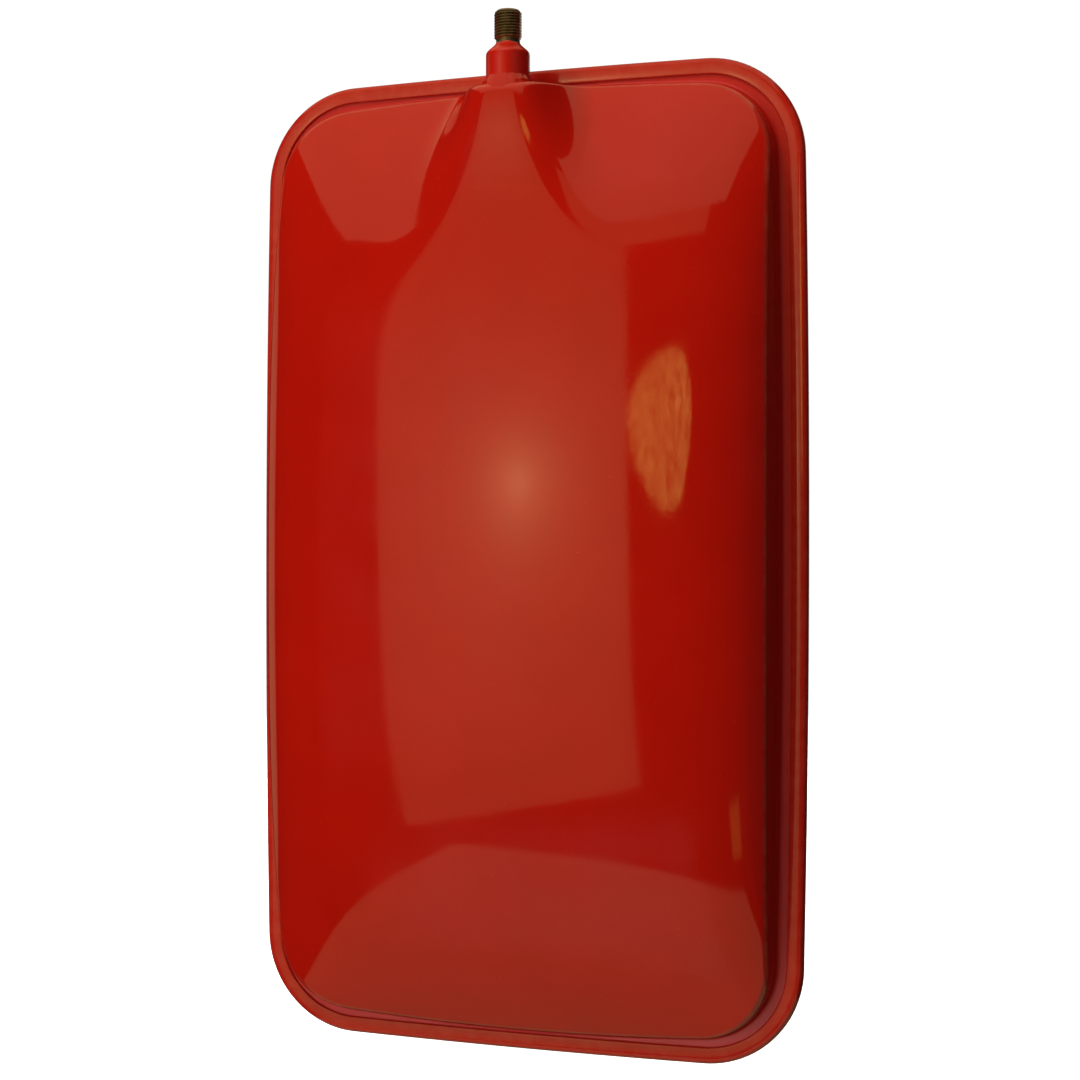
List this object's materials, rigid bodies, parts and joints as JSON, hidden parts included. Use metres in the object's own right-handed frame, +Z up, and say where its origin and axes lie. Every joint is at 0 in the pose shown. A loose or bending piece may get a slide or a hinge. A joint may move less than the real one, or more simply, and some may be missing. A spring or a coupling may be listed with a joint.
{
  "type": "flat expansion vessel",
  "caption": "Flat rectangular red heating expansion vessel: two domed pressed shells with a folded seam, a rubber diaphragm, a threaded water spigot on top and a gas valve behind.",
  "frame": {"origin": "middle of the water spigot's sealing face, on the thread's axis", "axes": "+Z up along the spigot, out of the vessel; -Y towards the water side; +X to the right seen from the water side"},
  "size_m": [0.2776, 0.1188, 0.4932],
  "materials": {
    "red_paint": "gloss",
    "rear_paint": "gloss",
    "spigot_steel": "satin",
    "weld_paint": "gloss",
    "butyl_rubber": "matte",
    "valve_brass": "satin",
    "valve_steel": "satin",
    "packing_rubber": "matte",
    "cap_plastic": "matte"
  },
  "bodies": {
    "vessel": {"front_shell": "red_paint", "rear_shell": "rear_paint", "connection_fitting": "spigot_steel", "fitting_weld": "weld_paint", "valve_stem": "valve_brass", "valve_weld": "weld_paint", "core_barrel": "valve_brass", "barrel_packing": "packing_rubber", "core_plug": "valve_brass", "core_spring": "valve_steel"},
    "membrane": {"diaphragm": "butyl_rubber"},
    "pin": {"core_pin": "valve_steel", "pin_cup": "valve_brass", "seat_washer": "packing_rubber"},
    "cap_disc": {"cap_seal": "packing_rubber"},
    "cap": {"valve_cap": "cap_plastic"}
  },
  "joints": [
    {"name": "diaphragm_travel", "type": "slide", "parent": "vessel", "child": "membrane", "axis": [0, 1, 0], "range_m": [0, 0.055], "stiffness_N_per_m": 40, "deforming": ["diaphragm"]},
    {"name": "valve_pin_press", "type": "slide", "parent": "vessel", "child": "pin", "axis": [0, -1, 0], "range_m": [0, 0.0012], "stiffness_N_per_m": 300, "springref_m": -0.002, "deforming": ["core_spring"]},
    {"name": "cap_travel", "type": "slide", "parent": "vessel", "child": "cap_disc", "axis": [0, 1, 0], "range_m": [0, 0.0145]},
    {"name": "cap_turn", "type": "hinge", "parent": "cap_disc", "child": "cap", "pos_m": [0, 0.0825, -0.25845], "axis": [0, 1, 0], "range_deg": [0, 6588]}
  ],
  "couplings": [
    {"joint": "cap_turn", "follows": "cap_travel", "rad_per_m": 7913.3}
  ]
}
